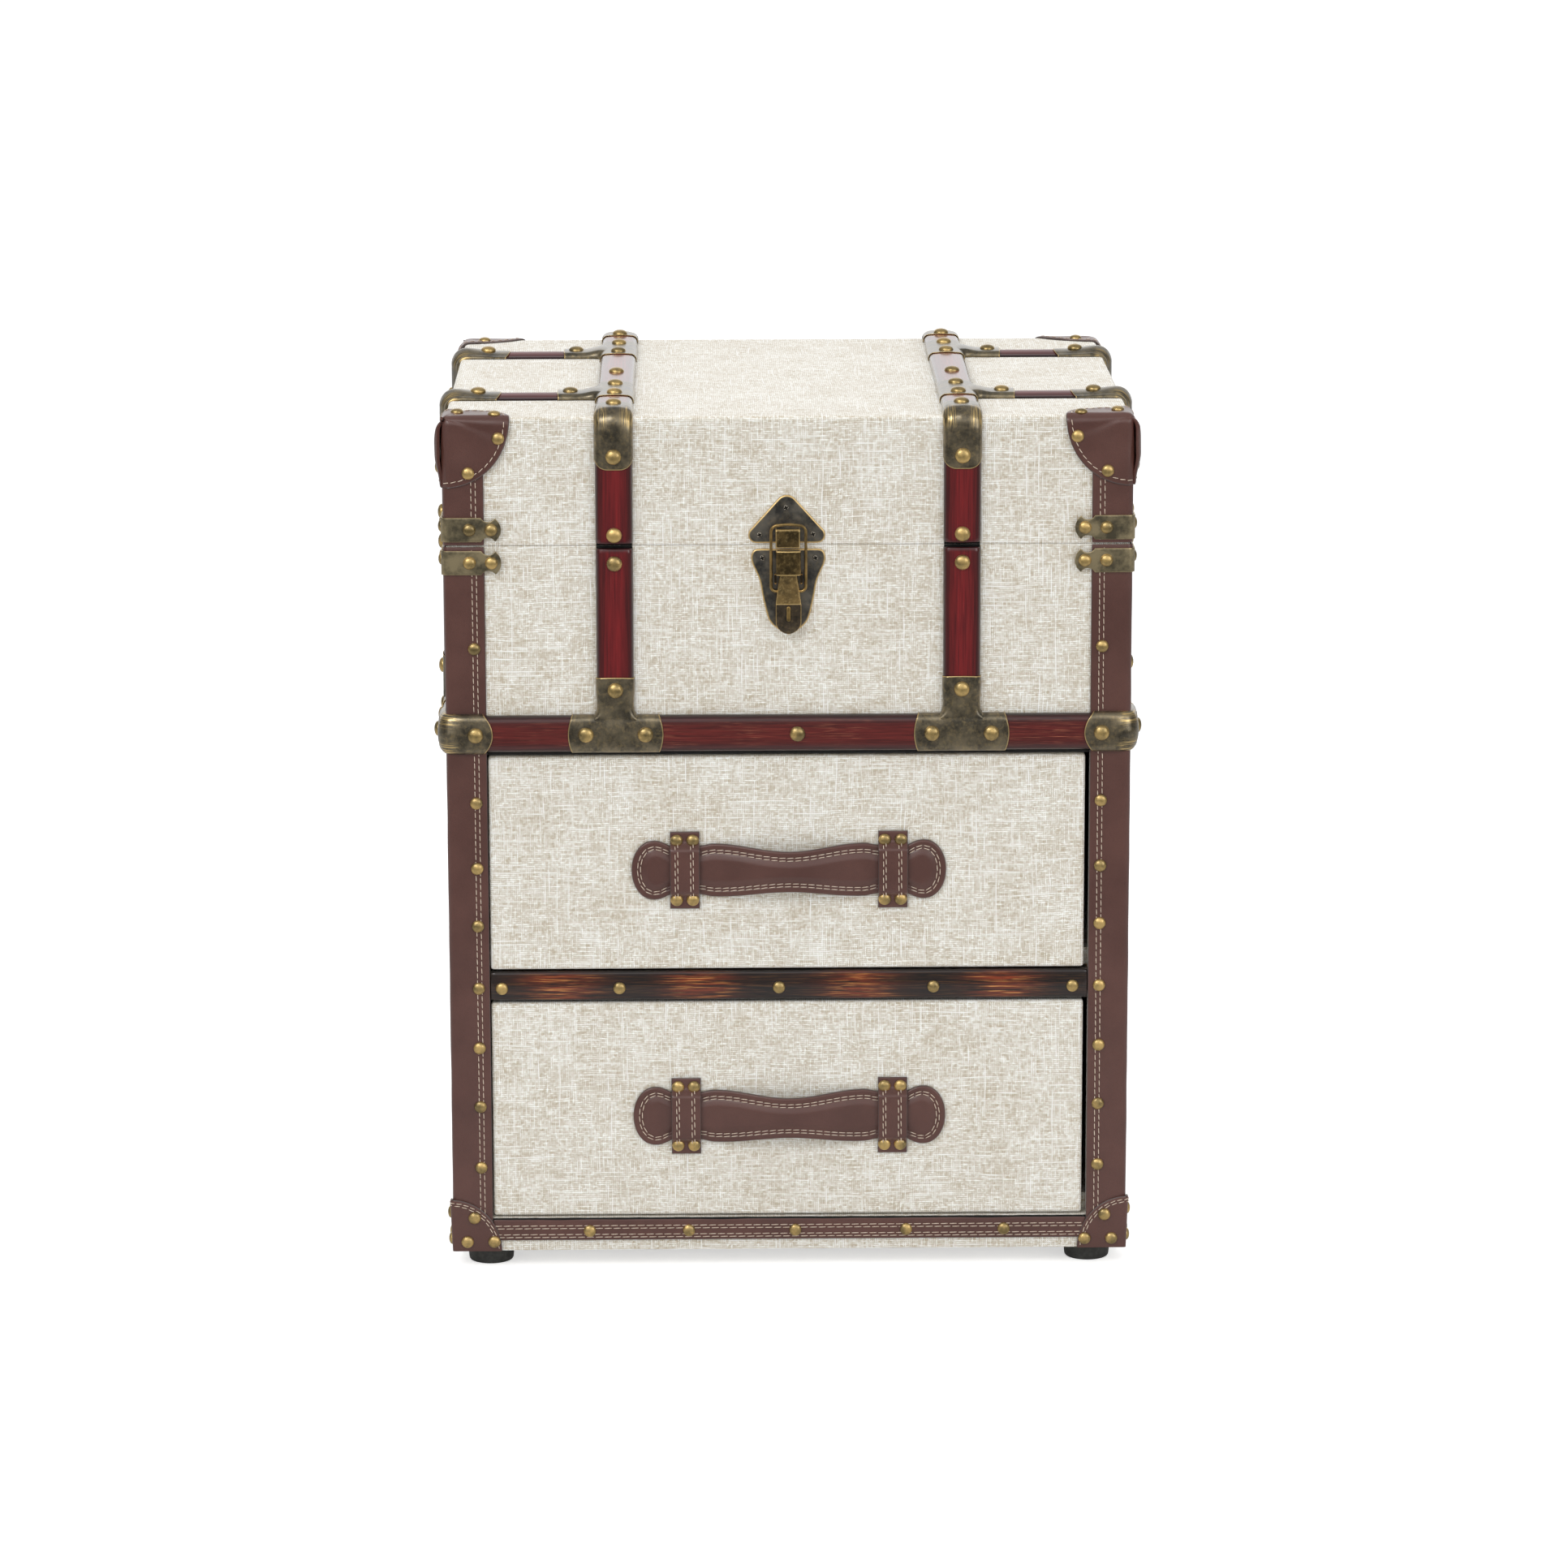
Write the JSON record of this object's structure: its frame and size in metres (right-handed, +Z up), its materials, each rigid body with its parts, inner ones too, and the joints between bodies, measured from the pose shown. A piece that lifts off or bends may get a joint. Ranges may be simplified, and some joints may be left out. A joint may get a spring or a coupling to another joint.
{
  "type": "trunk with drawers",
  "caption": "Linen-covered trunk with a hinged lift-up lid over drawers, wooden slats, leather edges, brass caps, a draw latch and leather handles.",
  "frame": {"origin": "middle of the overall width and depth, on the floor under the feet", "axes": "+Z up, -Y towards the front with the drawers and the latch, +X to the right seen from the front"},
  "size_m": [0.485, 0.4008, 0.6085],
  "materials": {
    "linen": "slubby cream linen glued over board",
    "bare_board": "plain unfinished board",
    "red_lacquer": "glossy mahogany red lacquer, darkened edges",
    "burnished_slat": "worn dark lacquer with orange streaks",
    "brown_leather": "fine-grained reddish brown leather with cream stitches",
    "antique_brass": "dark antique brass with bright worn rims",
    "clasp_bronze": "dark bronze with bright worn rims",
    "black_foot": "matt charcoal"
  },
  "bodies": {
    "case": {"base_board": "bare_board", "side_panel_left": "linen", "side_panel_right": "linen", "back_panel": "linen", "chest_front_panel": "linen", "chest_floor": "bare_board", "drawer_shelf": "bare_board", "divider_slat": "burnished_slat", "foot_front_left": "black_foot", "foot_front_right": "black_foot", "foot_back_left": "black_foot", "foot_back_right": "black_foot", "edge_leather_front_left": "brown_leather", "edge_leather_front_right": "brown_leather", "edge_leather_back_left": "brown_leather", "edge_leather_back_right": "brown_leather", "base_corner_leather_front_left": "brown_leather", "base_corner_leather_front_right": "brown_leather", "base_corner_leather_back_left": "brown_leather", "base_corner_leather_back_right": "brown_leather", "base_strip_leather": "brown_leather", "belt_front": "red_lacquer", "belt_back": "red_lacquer", "side_slats_left": "red_lacquer", "side_slats_right": "red_lacquer", "front_slat_left": "red_lacquer", "front_slat_right": "red_lacquer", "belt_corner_cap_front_left": "antique_brass", "belt_corner_cap_front_right": "antique_brass", "belt_corner_cap_back_left": "antique_brass", "belt_corner_cap_back_right": "antique_brass", "t_cap_left": "antique_brass", "t_cap_right": "antique_brass", "corner_strap_body_left": "antique_brass", "corner_strap_body_right": "antique_brass", "hinge_lower_left": "antique_brass", "hinge_lower_right": "antique_brass", "clasp_plate": "clasp_bronze"},
    "lid": {"lid_shell": "linen", "lid_slats_left": "red_lacquer", "lid_slats_right": "red_lacquer", "lid_slat_cap_left": "antique_brass", "lid_slat_cap_right": "antique_brass", "lid_corner_leather_front_left": "brown_leather", "lid_corner_leather_front_right": "brown_leather", "lid_corner_leather_back_left": "brown_leather", "lid_corner_leather_back_right": "brown_leather", "corner_strap_lid_left": "antique_brass", "corner_strap_lid_right": "antique_brass", "hinge_upper_left": "antique_brass", "hinge_upper_right": "antique_brass", "clasp_hook_plate": "clasp_bronze"},
    "upper_drawer": {"drawer_front_upper": "linen", "drawer_box_upper": "bare_board", "drawer_handle_upper": "brown_leather"},
    "lower_drawer": {"drawer_front_lower": "linen", "drawer_box_lower": "bare_board", "drawer_handle_lower": "brown_leather"},
    "lever": {"latch_lever": "clasp_bronze"},
    "bail": {"latch_bail": "clasp_bronze"}
  },
  "joints": [
    {"name": "lid_hinge", "type": "hinge", "parent": "case", "child": "lid", "pos_m": [0, 0.1934, 0.5103], "axis": [-1, 0, 0], "range_deg": [0, 100]},
    {"name": "upper_drawer_slide", "type": "slide", "parent": "case", "child": "upper_drawer", "axis": [0, -1, 0], "range_m": [0, 0.26]},
    {"name": "lower_drawer_slide", "type": "slide", "parent": "case", "child": "lower_drawer", "axis": [0, -1, 0], "range_m": [0, 0.26]},
    {"name": "latch_lever_pivot", "type": "hinge", "parent": "case", "child": "lever", "pos_m": [0, -0.1936, 0.503], "axis": [-1, 0, 0], "range_deg": [0, 135]},
    {"name": "latch_bail_pivot", "type": "hinge", "parent": "lever", "child": "bail", "pos_m": [0, -0.1914, 0.479], "axis": [-1, 0, 0], "range_deg": [-135, 0]}
  ],
  "couplings": [
    {"joint": "latch_bail_pivot", "follows": "latch_lever_pivot", "ratio": -1}
  ]
}
